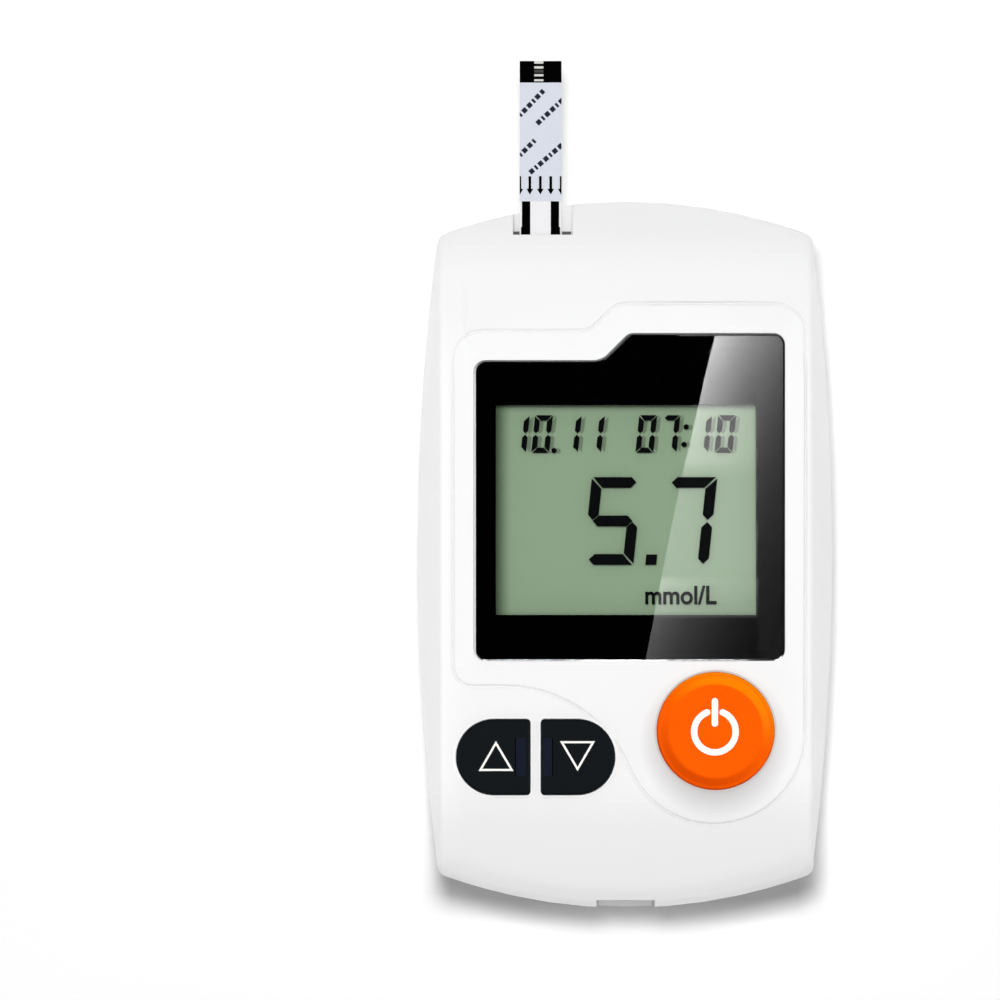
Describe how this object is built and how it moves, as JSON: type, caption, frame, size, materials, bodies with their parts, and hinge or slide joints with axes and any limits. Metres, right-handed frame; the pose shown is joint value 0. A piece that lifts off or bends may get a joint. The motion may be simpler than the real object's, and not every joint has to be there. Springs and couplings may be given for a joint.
{
  "type": "blood glucose meter",
  "caption": "Hand-held blood glucose meter with a display window, a round key, a pair of arrow keys, a sliding battery cover and a test strip standing in its port.",
  "frame": {"origin": "centre of the flat back, which the meter lies on", "axes": "+Z out of the display, +Y towards the end with the test strip, +X to the right as the display is read"},
  "size_m": [0.0522, 0.1063, 0.0192],
  "materials": {
    "white_plastic": "satin",
    "orange_plastic": "satin",
    "navy_plastic": "satin",
    "clear_plastic": "polished, clear",
    "black_film": "black adhesive film",
    "display_glass": "grey-green display",
    "tray_plastic": "moulded",
    "rubber": "layered conductive rubber",
    "board_laminate": "green solder mask",
    "chip_resin": "moulded resin",
    "can_metal": "nickel plated",
    "gold_plate": "gold plated",
    "spring_steel": "plated",
    "grey_plastic": "moulded",
    "strip_film": "printed film",
    "label_paper": "blank label film"
  },
  "bodies": {
    "meter": {"front_cover": "white_plastic", "rear_cover": "white_plastic", "display_lens": "clear_plastic", "lens_gasket": "black_film", "lcd_glass": "display_glass", "lcd_frame": "tray_plastic", "zebra_connector": "rubber", "main_board": "board_laminate", "processor_chip": "chip_resin", "memory_chip": "chip_resin", "crystal": "can_metal", "buzzer": "chip_resin", "strip_port": "grey_plastic", "coin_cell": "can_metal", "battery_contact_negative": "spring_steel", "battery_contact_positive": "spring_steel", "rear_label": "label_paper", "power_switch": "can_metal", "up_switch": "can_metal", "down_switch": "can_metal", "strip_contact_1": "gold_plate", "strip_contact_2": "gold_plate", "strip_contact_3": "gold_plate", "case_screw_1": "spring_steel", "case_screw_2": "spring_steel", "case_screw_3": "spring_steel", "case_screw_4": "spring_steel", "board_screw_1": "spring_steel", "board_screw_2": "spring_steel"},
    "power_key": {"power_button": "orange_plastic", "power_switch_plunger": "chip_resin"},
    "up_key": {"up_button": "navy_plastic", "up_switch_plunger": "chip_resin"},
    "down_key": {"down_button": "navy_plastic", "down_switch_plunger": "chip_resin"},
    "battery_door": {"battery_cover": "white_plastic"},
    "strip": {"test_strip": "strip_film"}
  },
  "joints": [
    {"name": "power_press", "type": "slide", "parent": "meter", "child": "power_key", "axis": [0, 0, -1], "range_m": [0, 0.0005], "stiffness_N_per_m": 3000},
    {"name": "up_press", "type": "slide", "parent": "meter", "child": "up_key", "axis": [0, 0, -1], "range_m": [0, 0.0005], "stiffness_N_per_m": 3000},
    {"name": "down_press", "type": "slide", "parent": "meter", "child": "down_key", "axis": [0, 0, -1], "range_m": [0, 0.0005], "stiffness_N_per_m": 3000},
    {"name": "battery_cover_slide", "type": "slide", "parent": "meter", "child": "battery_door", "axis": [0, -1, 0], "range_m": [0, 0.0265]},
    {"name": "strip_slide", "type": "slide", "parent": "meter", "child": "strip", "axis": [0, 1, 0], "range_m": [0, 0.0095]}
  ]
}
